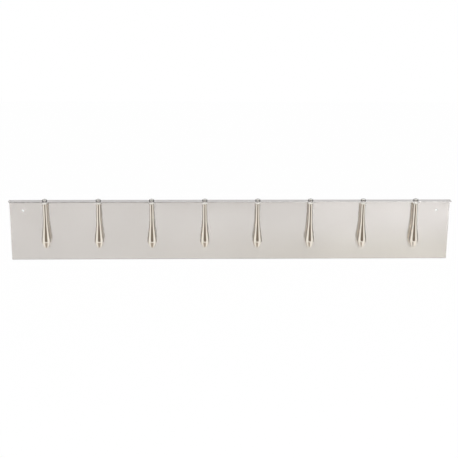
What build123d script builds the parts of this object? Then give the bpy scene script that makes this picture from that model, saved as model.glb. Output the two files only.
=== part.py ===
from build123d import *
import os
from math import cos, radians, sin, tan

# Wall hook rack: a folded steel sheet with a row of turned drop hooks clamped under its top flange.
# Millimetres. +X runs along the rack and +Z is up. The wall is the plane y = 0 and the front faces -Y.
# The origin is midway between the two wall screw holes, on the wall.

# Row of hooks
HOOK_COUNT = 8
HOOK_PITCH = 100.0
HOOK_FROM_END = 68.0
HOOK_PANEL_GAP = 2.0

# Folded sheet
PANEL_HEIGHT = 118.0
SHEET = 1.5
BEND_INSIDE_RADIUS = 1.5
FLANGE_LIP = 2.75
FLANGE_CORNER_RADIUS = 6.0
PANEL_CORNER_RADIUS = 1.0
SHEET_EDGE_ROUND = 0.4

# Wall screw holes
WALL_HOLE_DIAMETER = 4.5
WALL_HOLE_FROM_END = 25.0
WALL_HOLE_FROM_TOP = 21.0

# Screw that clamps each hook from above, its thread drawn as a plain cylinder
THREAD_DIAMETER = 5.0
THREAD_GAP = 0.05
THREAD_END_ROOM = 1.0
SHANK_HOLE_GAP = 0.2
SHANK_IN_HOOK = 12.0
SHANK_END_CHAMFER = 0.6
HEAD_DIAMETER = 9.5
HEAD_HEIGHT = 4.2
HEAD_RIM_HEIGHT = 3.2
HEAD_EDGE_ROUND = 0.5
SOCKET_ACROSS_FLATS = 3.0
SOCKET_DEPTH = 2.5

# Turned hook
NECK_WALL = 1.6
NECK_LENGTH = 28.0
NECK_TAPER_ANGLE = 0.8
NECK_TOP_ROUND = 0.4
FLARE_LENGTH = 45.0
FLARE_START_PULL = 20.0
FLARE_END_PULL = 9.0
FLARE_END_ANGLE = 2.0
SHOULDER_DIAMETER = 18.0
SHOULDER_ROUND = 5.0
TIP_CONE_LENGTH = 12.5
TIP_DIAMETER = 8.0
TIP_ROUND = 2.0

# Collar under the flange
COLLAR_HEIGHT = 4.0
COLLAR_OVERHANG = 1.4
COLLAR_BAND = 0.4

# Sizes that follow from those above
HEAD_RADIUS = HEAD_DIAMETER / 2
NECK_RADIUS = THREAD_DIAMETER / 2 + NECK_WALL
NECK_END_RADIUS = NECK_RADIUS + NECK_LENGTH * tan(radians(NECK_TAPER_ANGLE))
SHOULDER_RADIUS = SHOULDER_DIAMETER / 2
SHOULDER_DROP = NECK_LENGTH + FLARE_LENGTH
HOOK_LENGTH = SHOULDER_DROP + TIP_CONE_LENGTH
SHANK_HOLE_RADIUS = THREAD_DIAMETER / 2 + SHANK_HOLE_GAP
RACK_LENGTH = (HOOK_COUNT - 1) * HOOK_PITCH + 2 * HOOK_FROM_END
HOOK_Y = -(SHEET + HOOK_PANEL_GAP + SHOULDER_RADIUS)
FLANGE_FRONT_Y = HOOK_Y - HEAD_RADIUS - FLANGE_LIP
TOP_Z = WALL_HOLE_FROM_TOP
FLANGE_UNDER_Z = TOP_Z - SHEET
PANEL_BOTTOM_Z = TOP_Z - PANEL_HEIGHT
COLLAR_ROUND = (COLLAR_HEIGHT - COLLAR_BAND) / 2
COLLAR_BOTTOM_Z = FLANGE_UNDER_Z - COLLAR_HEIGHT
WALL_HOLE_X = RACK_LENGTH / 2 - WALL_HOLE_FROM_END


def hook_positions():
    """The x of each hook, in order from the left."""
    first = -(HOOK_COUNT - 1) * HOOK_PITCH / 2
    return [first + index * HOOK_PITCH for index in range(HOOK_COUNT)]


def corner(face, x, y):
    """The vertex of a flat outline nearest to a point."""
    return face.vertices().sort_by_distance((x, y, 0))[0]


def turned(outline):
    """A solid of revolution about Z from a closed outline drawn as radius and height."""
    return revolve(Plane.XZ * outline, Axis.Z)


def folded_sheet():
    """The sheet's section, drawn as y and z with its fold, run along the rack."""
    section = make_face(
        Polyline(
            (0, PANEL_BOTTOM_Z),
            (0, TOP_Z),
            (FLANGE_FRONT_Y, TOP_Z),
            (FLANGE_FRONT_Y, FLANGE_UNDER_Z),
            (-SHEET, FLANGE_UNDER_Z),
            (-SHEET, PANEL_BOTTOM_Z),
            close=True,
        )
    )
    section = fillet(corner(section, 0, TOP_Z), BEND_INSIDE_RADIUS + SHEET)
    section = fillet(corner(section, -SHEET, FLANGE_UNDER_Z), BEND_INSIDE_RADIUS)
    return extrude(Plane.YZ * section, RACK_LENGTH / 2, both=True)


def make_back_panel():
    """The folded sheet with rounded corners, wall screw holes and one screw hole for each hook."""
    panel = folded_sheet()
    flange_corners = panel.edges().filter_by(Axis.Z).group_by(Axis.Y)[0]
    panel = fillet(flange_corners, FLANGE_CORNER_RADIUS)
    panel_corners = panel.edges().filter_by(Axis.Y).group_by(Axis.Z)[0]
    panel = fillet(panel_corners, PANEL_CORNER_RADIUS)
    long_edges = panel.edges().filter_by(Axis.X)
    lower_front_edge = long_edges.group_by(Axis.Z)[0].sort_by(Axis.Y)[0]
    flange_front_edges = long_edges.group_by(Axis.Y)[0]
    panel = fillet([lower_front_edge, *flange_front_edges], SHEET_EDGE_ROUND)
    for x in (-WALL_HOLE_X, WALL_HOLE_X):
        drill = Rot(X=90) * Cylinder(WALL_HOLE_DIAMETER / 2, 4 * SHEET)
        panel -= Pos(x, -SHEET / 2, 0) * drill
    for x in hook_positions():
        panel -= Pos(x, HOOK_Y, TOP_Z - SHEET / 2) * Cylinder(SHANK_HOLE_RADIUS, 2 * SHEET)
    return panel


def down_slope(radius, height, angle, run):
    """The point reached from a radius and height by a run down a slope that widens by an angle."""
    return radius + run * sin(radians(angle)), height - run * cos(radians(angle))


def make_hook_body():
    """A turned drop with its top face at z = 0: neck, flare, shoulder and blunt cone, tapped at the top."""
    flare = Bezier(
        (NECK_END_RADIUS, -NECK_LENGTH),
        down_slope(NECK_END_RADIUS, -NECK_LENGTH, NECK_TAPER_ANGLE, FLARE_START_PULL),
        down_slope(SHOULDER_RADIUS, -SHOULDER_DROP, FLARE_END_ANGLE, -FLARE_END_PULL),
        (SHOULDER_RADIUS, -SHOULDER_DROP),
    )
    cone_and_axis = Polyline(
        (SHOULDER_RADIUS, -SHOULDER_DROP),
        (TIP_DIAMETER / 2, -HOOK_LENGTH),
        (0, -HOOK_LENGTH),
        (0, 0),
        (NECK_RADIUS, 0),
        (NECK_END_RADIUS, -NECK_LENGTH),
    )
    outline = make_face([flare, cone_and_axis])
    outline = fillet(corner(outline, NECK_RADIUS, 0), NECK_TOP_ROUND)
    outline = fillet(corner(outline, SHOULDER_RADIUS, -SHOULDER_DROP), SHOULDER_ROUND)
    outline = fillet(corner(outline, TIP_DIAMETER / 2, -HOOK_LENGTH), TIP_ROUND)
    depth = SHANK_IN_HOOK + THREAD_END_ROOM
    tapped_hole = Pos(0, 0, -depth / 2) * Cylinder(THREAD_DIAMETER / 2, depth)
    return turned(outline) - tapped_hole


def make_hook_collar():
    """A ring with its top face at z = 0, rounded at both outer edges and bored for the screw."""
    radius = NECK_RADIUS + COLLAR_OVERHANG
    ring = Pos(0, 0, -COLLAR_HEIGHT / 2) * Cylinder(radius, COLLAR_HEIGHT)
    ring = fillet(ring.edges().filter_by(GeomType.CIRCLE), COLLAR_ROUND)
    return ring - Pos(0, 0, -COLLAR_HEIGHT / 2) * Cylinder(SHANK_HOLE_RADIUS, 2 * COLLAR_HEIGHT)


def make_hook_screw():
    """A screw with z = 0 under its domed, socketed head, and a shank that reaches down into the hook."""
    crown = TangentArc((0, HEAD_HEIGHT), (HEAD_RADIUS, HEAD_RIM_HEIGHT), tangent=(1, 0))
    rim_and_axis = Polyline((HEAD_RADIUS, HEAD_RIM_HEIGHT), (HEAD_RADIUS, 0), (0, 0), (0, HEAD_HEIGHT))
    outline = make_face([crown, rim_and_axis])
    head = turned(fillet(corner(outline, HEAD_RADIUS, HEAD_RIM_HEIGHT), HEAD_EDGE_ROUND))
    socket = extrude(RegularPolygon(SOCKET_ACROSS_FLATS / 2, 6, major_radius=False), SOCKET_DEPTH)
    head -= Pos(0, 0, HEAD_HEIGHT - SOCKET_DEPTH) * socket
    length = SHEET + COLLAR_HEIGHT + SHANK_IN_HOOK
    shank = Pos(0, 0, -length / 2) * Cylinder(THREAD_DIAMETER / 2 - THREAD_GAP, length)
    shank_end = shank.edges().filter_by(GeomType.CIRCLE).sort_by(Axis.Z)[0]
    return head + chamfer(shank_end, SHANK_END_CHAMFER)


def write(node, shape):
    """One file for each piece, named after it."""
    export_step(shape, f"parts/{node}.step")


def main():
    os.makedirs("parts", exist_ok=True)
    write("back_panel", make_back_panel())
    hook_pieces = {
        "hook_body": (make_hook_body(), COLLAR_BOTTOM_Z),
        "hook_collar": (make_hook_collar(), FLANGE_UNDER_Z),
        "hook_screw": (make_hook_screw(), TOP_Z),
    }
    for number, x in enumerate(hook_positions(), start=1):
        for name, (shape, z) in hook_pieces.items():
            write(f"{name}_{number}", Pos(x, HOOK_Y, z) * shape)


main()
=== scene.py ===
from math import cos, radians, sin

import bpy
from mathutils import Matrix, Vector


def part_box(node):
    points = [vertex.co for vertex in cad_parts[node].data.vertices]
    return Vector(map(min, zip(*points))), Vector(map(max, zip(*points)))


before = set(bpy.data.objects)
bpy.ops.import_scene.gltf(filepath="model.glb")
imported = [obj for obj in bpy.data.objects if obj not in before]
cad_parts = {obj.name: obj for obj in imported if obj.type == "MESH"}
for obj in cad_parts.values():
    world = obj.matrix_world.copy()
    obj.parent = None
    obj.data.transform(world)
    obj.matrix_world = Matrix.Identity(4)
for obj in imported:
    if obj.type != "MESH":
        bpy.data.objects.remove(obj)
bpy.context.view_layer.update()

# Camera, fitted to the photograph's edges, holes and hooks
CAMERA_AIM = Vector((-0.0036, 0.0, -0.0375))
CAMERA_DISTANCE = 1.952
CAMERA_AZIMUTH = radians(-2.07)
CAMERA_ELEVATION = radians(16.10)
CAMERA_ROLL = radians(-0.44)
CAMERA_LENS = 80.25
SENSOR_WIDTH = 36.0

# Stage
FLOOR_Z = -0.9
FLOOR_SIZE = 14.0
FLOOR_COLOUR = (0.93, 0.93, 0.93)
FLOOR_SHARE = 0.9
DULL_ROUGHNESS = 0.95
WORLD_STRENGTH = 1.0
FRONT_CARD_COLOUR = (0.215, 0.186, 0.155)
FLOOR_CARD_COLOUR = (0.34, 0.30, 0.26)
BACK_CARD_COLOUR = (0.60, 0.605, 0.61)

# Heights on the rack, taken from its boxes
PANEL_BOTTOM_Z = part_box("back_panel")[0][2]
PANEL_TOP_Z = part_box("back_panel")[1][2]
FLANGE_FRONT_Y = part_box("back_panel")[0][1]
HOOK_TIP_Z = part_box("hook_body_1")[0][2]
COLLAR_BOTTOM_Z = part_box("hook_collar_1")[0][2]

# Brushed sheet: places in metres, and shares of its colour
PANEL_COLOUR = (0.787, 0.760, 0.741)
PANEL_ROUGHNESS = 0.22
PANEL_ANISOTROPY = 1.0
GRAIN_PER_METRE = (5.0, 1200.0, 1200.0)
GRAIN_SHARE = 0.97
SMUDGES_PER_METRE = (9.0, 14.0, 14.0)
SMUDGE_AMOUNT = 0.35
SMUDGE_SHARE = 0.88
# Painted shade: the lower part of the sheet darker and warmer, most of all on the right
UNSHADED = (1.0, 1.0, 1.0)
LOWER_SHADE_LEFT = (0.985, 0.985, 0.98)
LOWER_SHADE_RIGHT = (0.92, 0.91, 0.86)
LOWER_SHADE_END_X = 0.4
LOWER_SHADE_TOP_Z = -0.01
# Painted shade: a dark line along the sheet's lower edge
LOWER_EDGE_SHARE = 0.60
LOWER_EDGE_FADE = (0.0016, 0.0006)
# Painted shade on the flange's front edge, lighter toward the right
FRONT_EDGE_LEFT_SHARE = 0.51
FRONT_EDGE_RIGHT_SHARE = 0.85
FRONT_EDGE_FADE = (0.0009, 0.0003)
EDGE_SHADE_START_X = -0.36
EDGE_SHADE_END_X = 0.38

# Polished metal
NICKEL_COLOUR = (0.86, 0.80, 0.715)
COLLAR_COLOUR = (0.94, 0.92, 0.87)
SCREW_COLOUR = (0.93, 0.91, 0.87)
RINGS_PER_METRE = (30.0, 30.0, 2600.0)
HAZE_PER_METRE = (110.0, 110.0, 70.0)
HAZE_SHARE = 0.95
HAZE_ROUGHENING = 1.5
# Wear at the hook tips and collars, painted shade at the foot of the screw heads
SCUFF_AND_SHADE_HEIGHT = 0.006
SCUFF_ROUGHNESS = 0.05
# Painted shade at the rim of upright polished surfaces
RIM_SHADE_WIDTH = 0.3
RIM_SHADE_TILT_START = 0.15
RIM_SHADE_TILT_END = 0.4

# Fine relief of grain and tool rings
RELIEF_DEPTH = 0.00001
RELIEF_STRENGTH = 0.03


def new_material(name):
    """A node material, its node tree and its shader."""
    material = bpy.data.materials.new(name)
    material.use_nodes = True
    tree = material.node_tree
    return material, tree, tree.nodes["Principled BSDF"]


def add_node(tree, kind, **settings):
    """A node with its input values, or else its properties, set by name."""
    node = tree.nodes.new(kind)
    for key, value in settings.items():
        name = key.replace("_", " ")
        if name in node.inputs:
            node.inputs[name].default_value = value
        else:
            setattr(node, key, value)
    return node


def object_place(tree):
    """The point's place in the CAD frame, in metres."""
    return add_node(tree, "ShaderNodeTexCoord").outputs["Object"]


def stretched_noise(tree, per_metre, detail=3.0):
    """Noise with its own number of grains per metre along each axis."""
    mapping = add_node(tree, "ShaderNodeMapping", Scale=per_metre)
    noise = add_node(tree, "ShaderNodeTexNoise", Scale=1.0, Detail=detail)
    tree.links.new(object_place(tree), mapping.inputs["Vector"])
    tree.links.new(mapping.outputs["Vector"], noise.inputs["Vector"])
    return noise.outputs["Fac"]


def remap(tree, value, low, high, from_low=0.3, from_high=0.7, smooth=False):
    """A value brought from one range to another, and kept within it."""
    node = add_node(tree, "ShaderNodeMapRange", From_Min=from_low, From_Max=from_high)
    node.inputs["To Min"].default_value = low
    node.inputs["To Max"].default_value = high
    if smooth:
        node.interpolation_type = "SMOOTHSTEP"
    tree.links.new(value, node.inputs["Value"])
    return node.outputs["Result"]


def along(tree, axis, start, end):
    """Zero to one between two places along an axis of the CAD frame."""
    split = add_node(tree, "ShaderNodeSeparateXYZ")
    tree.links.new(object_place(tree), split.inputs["Vector"])
    return remap(tree, split.outputs[axis], 0.0, 1.0, start, end, smooth=True)


def combine(tree, operation, first, second):
    """Two values put together by an operation."""
    node = add_node(tree, "ShaderNodeMath", operation=operation)
    for value, socket in zip((first, second), node.inputs):
        if isinstance(value, float):
            socket.default_value = value
        else:
            tree.links.new(value, socket)
    return node.outputs["Value"]


def shade_mix(tree, factor, first, second):
    """A colour between two, by a factor."""
    node = add_node(tree, "ShaderNodeMix", data_type="RGBA")
    tree.links.new(factor, node.inputs["Factor"])
    for colour, socket in ((first, node.inputs[6]), (second, node.inputs[7])):
        if isinstance(colour, tuple):
            socket.default_value = (*colour, 1.0)
        else:
            tree.links.new(colour, socket)
    return node.outputs[2]


def tinted(tree, colour, tint):
    """A colour seen through a tint."""
    node = add_node(tree, "ShaderNodeMix", data_type="RGBA", blend_type="MULTIPLY")
    node.inputs["Factor"].default_value = 1.0
    tree.links.new(colour, node.inputs[6])
    tree.links.new(tint, node.inputs[7])
    return node.outputs[2]


def fine_relief(tree, height):
    """A faint bump from a height."""
    node = add_node(tree, "ShaderNodeBump", Strength=RELIEF_STRENGTH, Distance=RELIEF_DEPTH)
    tree.links.new(height, node.inputs["Height"])
    return node.outputs["Normal"]


def scaled(colour, share):
    """A colour times a share."""
    return tuple(channel * share for channel in colour)


def sheet_colour(tree, grain, smudges):
    """Grain and smudges, painted shade that darkens and warms the sheet downward, and painted shade on the
    cut edges.

    The painted shade on the flange's cut edge is lighter toward the right end.
    """
    face = shade_mix(tree, remap(tree, grain, 0.0, 1.0), scaled(PANEL_COLOUR, GRAIN_SHARE), PANEL_COLOUR)
    smudge = remap(tree, smudges, 0.0, SMUDGE_AMOUNT)
    smudged = shade_mix(tree, smudge, face, scaled(PANEL_COLOUR, SMUDGE_SHARE))
    # Painted shade: darker and warmer toward the bottom of the sheet, most on the right
    lower_shade_tint = shade_mix(tree, along(tree, "X", -LOWER_SHADE_END_X, LOWER_SHADE_END_X), LOWER_SHADE_LEFT, LOWER_SHADE_RIGHT)
    painted_lower_shade = shade_mix(tree, along(tree, "Z", LOWER_SHADE_TOP_Z, PANEL_BOTTOM_Z), UNSHADED, lower_shade_tint)
    # Painted shade: a dark line along the lower edge
    lower_edge = along(tree, "Z", *[PANEL_BOTTOM_Z + fade for fade in LOWER_EDGE_FADE])
    lower_edge_shade = scaled(PANEL_COLOUR, LOWER_EDGE_SHARE)
    trimmed = shade_mix(tree, lower_edge, tinted(tree, smudged, painted_lower_shade), lower_edge_shade)
    # Painted shade on the flange's front edge, darker at the left and lighter toward the right
    edge_colours = [scaled(PANEL_COLOUR, share) for share in (FRONT_EDGE_LEFT_SHARE, FRONT_EDGE_RIGHT_SHARE)]
    front_edge_shade = shade_mix(tree, along(tree, "X", EDGE_SHADE_START_X, EDGE_SHADE_END_X), *edge_colours)
    front_edge = along(tree, "Y", *[FLANGE_FRONT_Y + fade for fade in FRONT_EDGE_FADE])
    return shade_mix(tree, front_edge, trimmed, front_edge_shade)


def across_grain(tree):
    """The direction on each face that is square to the grain along X."""
    normal = add_node(tree, "ShaderNodeNewGeometry").outputs["Normal"]
    across = add_node(tree, "ShaderNodeVectorMath", operation="CROSS_PRODUCT")
    across.inputs[1].default_value = (1.0, 0.0, 0.0)
    tree.links.new(normal, across.inputs[0])
    return across.outputs["Vector"]


def brushed_steel():
    """Sheet brushed along its length, so the gloss spreads across the grain."""
    material, tree, shader = new_material("brushed_steel")
    shader.inputs["Metallic"].default_value = 1.0
    shader.inputs["Anisotropic"].default_value = PANEL_ANISOTROPY
    grain = stretched_noise(tree, GRAIN_PER_METRE, detail=4.0)
    smudges = stretched_noise(tree, SMUDGES_PER_METRE, detail=2.0)
    gloss = remap(tree, smudges, PANEL_ROUGHNESS - 0.015, PANEL_ROUGHNESS + 0.02)
    tree.links.new(sheet_colour(tree, grain, smudges), shader.inputs["Base Color"])
    tree.links.new(gloss, shader.inputs["Roughness"])
    tree.links.new(fine_relief(tree, grain), shader.inputs["Normal"])
    tree.links.new(across_grain(tree), shader.inputs["Tangent"])
    return material


def painted_rim_shade(tree, start):
    """The mask of painted shade: one where an upright surface turns away from the eye, and zero on faces
    that look up or down.
    """
    facing = add_node(tree, "ShaderNodeLayerWeight", Blend=0.5).outputs["Facing"]
    rim = remap(tree, facing, 0.0, 1.0, start, start + RIM_SHADE_WIDTH, smooth=True)
    split = add_node(tree, "ShaderNodeSeparateXYZ")
    tree.links.new(add_node(tree, "ShaderNodeNewGeometry").outputs["Normal"], split.inputs["Vector"])
    tilt = combine(tree, "ABSOLUTE", split.outputs["Z"], 0.0)
    upright = remap(tree, tilt, 1.0, 0.0, RIM_SHADE_TILT_START, RIM_SHADE_TILT_END, smooth=True)
    return combine(tree, "MULTIPLY", rim, upright)


def polished_metal(name, colour, roughness, rim_shade_start, rim_shade_share, wear_and_shade_base, wear_and_shade_share):
    """Turned and polished metal with faint tool rings along Z and haze.

    Its colour falls to one share at the rim, as painted shade, and to another, with scuffs, down to a
    height: wear at the hook tips and collars, painted shade at the foot of the screw heads.
    """
    material, tree, shader = new_material(name)
    shader.inputs["Metallic"].default_value = 1.0
    rings = stretched_noise(tree, RINGS_PER_METRE, detail=2.0)
    haze = stretched_noise(tree, HAZE_PER_METRE, detail=3.0)
    # Band of wear on hooks and collars, and of painted shade at the foot of the screw heads
    scuffs_and_shade = along(tree, "Z", wear_and_shade_base + SCUFF_AND_SHADE_HEIGHT, wear_and_shade_base)
    tint = shade_mix(tree, remap(tree, haze, 0.0, 1.0), scaled(colour, HAZE_SHARE), colour)
    wear_and_shade = shade_mix(tree, scuffs_and_shade, tint, scaled(colour, wear_and_shade_share))
    # Painted shade darkens the rim
    rim_shaded = shade_mix(tree, painted_rim_shade(tree, rim_shade_start), wear_and_shade, scaled(colour, rim_shade_share))
    gloss = remap(tree, haze, roughness, roughness * HAZE_ROUGHENING)
    scuffed = combine(tree, "ADD", gloss, combine(tree, "MULTIPLY", scuffs_and_shade, SCUFF_ROUGHNESS))
    tree.links.new(rim_shaded, shader.inputs["Base Color"])
    tree.links.new(scuffed, shader.inputs["Roughness"])
    tree.links.new(fine_relief(tree, rings), shader.inputs["Normal"])
    return material


def hook_nickel():
    """Warm polished nickel, a little worn at the tips."""
    # Painted shade darkens the rim to 0.42 of the colour
    return polished_metal("polished_nickel", NICKEL_COLOUR, roughness=0.07, rim_shade_start=0.2, rim_shade_share=0.42,
                          wear_and_shade_base=HOOK_TIP_Z, wear_and_shade_share=0.94)


def collar_nickel():
    """Softer, paler nickel."""
    # Painted shade darkens the rim a little
    return polished_metal("collar_nickel", COLLAR_COLOUR, roughness=0.36, rim_shade_start=0.2, rim_shade_share=0.8,
                          wear_and_shade_base=COLLAR_BOTTOM_Z, wear_and_shade_share=0.94)


def screw_steel():
    """Bright steel with painted shade on its sides, and painted shade and more roughness at the foot of the
    head.
    """
    return polished_metal("screw_steel", SCREW_COLOUR, roughness=0.04, rim_shade_start=0.08, rim_shade_share=0.06,
                          # Painted shade at the foot of the head and on its sides
                          wear_and_shade_base=PANEL_TOP_Z, wear_and_shade_share=0.45)


def dress_nodes():
    """Each node's finish, by the first words of its name."""
    finishes = {
        "back_panel": brushed_steel(),
        "hook_body": hook_nickel(),
        "hook_collar": collar_nickel(),
        "hook_screw": screw_steel(),
    }
    for name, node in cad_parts.items():
        finish = next(finishes[start] for start in finishes if name.startswith(start))
        node.data.materials.clear()
        node.data.materials.append(finish)


def seen_directly(tree):
    """One for camera, glossy and transmission rays, and zero for the rest."""
    path = add_node(tree, "ShaderNodeLightPath")
    total = path.outputs["Is Camera Ray"]
    for name in ("Is Glossy Ray", "Is Transmission Ray"):
        total = combine(tree, "MAXIMUM", total, path.outputs[name])
    return total


def white_world():
    """A plain white surround."""
    world = bpy.data.worlds.new("white_surround")
    world.use_nodes = True
    background = world.node_tree.nodes["Background"]
    background.inputs["Color"].default_value = (1.0, 1.0, 1.0, 1.0)
    background.inputs["Strength"].default_value = WORLD_STRENGTH
    bpy.context.scene.world = world


def dull_material(name, colour):
    """A dull stage surface."""
    material, _, shader = new_material(name)
    shader.inputs["Base Color"].default_value = (*colour, 1.0)
    shader.inputs["Roughness"].default_value = DULL_ROUGHNESS
    shader.inputs["Specular IOR Level"].default_value = 0.0
    return material


def floor_material():
    """Pale floor that looks white where it is seen and keeps part of its shadow."""
    material, tree, shader = new_material("pale_floor")
    shader.inputs["Base Color"].default_value = (*FLOOR_COLOUR, 1.0)
    shader.inputs["Roughness"].default_value = DULL_ROUGHNESS
    white = add_node(tree, "ShaderNodeEmission")
    mix = add_node(tree, "ShaderNodeMixShader")
    share = combine(tree, "MULTIPLY", seen_directly(tree), FLOOR_SHARE)
    tree.links.new(share, mix.inputs["Fac"])
    tree.links.new(shader.outputs["BSDF"], mix.inputs[1])
    tree.links.new(white.outputs["Emission"], mix.inputs[2])
    tree.links.new(mix.outputs["Shader"], tree.nodes["Material Output"].inputs["Surface"])
    return material


def stage_plane(name, centre, width, height, facing, material):
    """A flat stage surface that faces a direction, not part of the object."""
    mesh = bpy.data.meshes.new(name)
    half_width, half_height = width / 2, height / 2
    corners = [(-half_width, -half_height, 0), (half_width, -half_height, 0),
               (half_width, half_height, 0), (-half_width, half_height, 0)]
    mesh.from_pydata(corners, [], [(0, 1, 2, 3)])
    mesh.materials.append(material)
    plane = bpy.data.objects.new(name, mesh)
    plane.rotation_euler = Vector(facing).to_track_quat("Z", "Y").to_euler()
    plane.location = centre
    bpy.context.scene.collection.objects.link(plane)
    return plane


def studio_card(name, centre, width, height, facing, colour):
    """A dull card out of the picture, which only shows in the metal's reflections."""
    card = stage_plane(name, centre, width, height, facing, dull_material(name, colour))
    card.visible_camera = False
    card.visible_diffuse = False
    card.visible_shadow = False


def build_stage():
    """White floor, and dull cards in front, low in front, on the floor and high behind."""
    stage_plane("floor", centre=(0, 0, FLOOR_Z), width=FLOOR_SIZE, height=FLOOR_SIZE,
                facing=(0, 0, 1), material=floor_material())
    studio_card("front_low_card", centre=(0.12, -2.6, -0.58), width=3.0, height=0.44,
                facing=(0, 1, 0), colour=FRONT_CARD_COLOUR)
    studio_card("front_high_card", centre=(0.0, -2.6, -0.03), width=3.6, height=0.66,
                facing=(0, 1, 0), colour=FRONT_CARD_COLOUR)
    studio_card("floor_card", centre=(-0.2, -0.52, FLOOR_Z + 0.02), width=1.1, height=0.4,
                facing=(0, 0, 1), colour=FLOOR_CARD_COLOUR)
    studio_card("back_card", centre=(0.0, 2.4, 0.6), width=8.0, height=3.0,
                facing=(0, -1, 0), colour=BACK_CARD_COLOUR)


def soft_light(name, place, aim, width, height, power, shape="RECTANGLE"):
    """A soft box that faces a point."""
    light = bpy.data.lights.new(name, "AREA")
    light.shape = shape
    light.size = width
    light.size_y = height
    light.energy = power
    lamp = bpy.data.objects.new(name, light)
    lamp.location = place
    lamp.rotation_euler = (Vector(aim) - Vector(place)).to_track_quat("-Z", "Y").to_euler()
    lamp.visible_camera = False
    bpy.context.scene.collection.objects.link(lamp)


def build_lights():
    """A wide soft box overhead, a wide strip in front, and a rounded soft box high on the right."""
    soft_light("overhead", place=(0.85, -1.3, 1.6), aim=(0, 0, 0), width=2.6, height=1.0, power=9.0)
    soft_light("front_strip", place=(0.0, -2.0, 0.42), aim=(0, 0, 0), width=2.6, height=0.16, power=12.7)
    soft_light("right_key", place=(0.64, -1.5, 0.32), aim=(0.3, 0, 0), width=0.60, height=0.3, power=1.22,
               shape="ELLIPSE")


def build_camera():
    """The photograph's view: aim, azimuth, elevation, distance and a slight roll."""
    forward = Vector((
        -sin(CAMERA_AZIMUTH) * cos(CAMERA_ELEVATION),
        cos(CAMERA_AZIMUTH) * cos(CAMERA_ELEVATION),
        -sin(CAMERA_ELEVATION),
    ))
    level_right = Vector((cos(CAMERA_AZIMUTH), sin(CAMERA_AZIMUTH), 0.0))
    level_up = level_right.cross(forward)
    right = level_right * cos(CAMERA_ROLL) - level_up * sin(CAMERA_ROLL)
    up = level_up * cos(CAMERA_ROLL) + level_right * sin(CAMERA_ROLL)
    data = bpy.data.cameras.new("camera")
    data.lens = CAMERA_LENS
    data.sensor_width = SENSOR_WIDTH
    camera = bpy.data.objects.new("camera", data)
    turn = Matrix((right, up, -forward)).transposed().to_4x4()
    camera.matrix_world = Matrix.Translation(CAMERA_AIM - forward * CAMERA_DISTANCE) @ turn
    bpy.context.scene.collection.objects.link(camera)
    bpy.context.scene.camera = camera


dress_nodes()
white_world()
build_stage()
build_lights()
build_camera()
bpy.context.scene.view_settings.view_transform = "Standard"
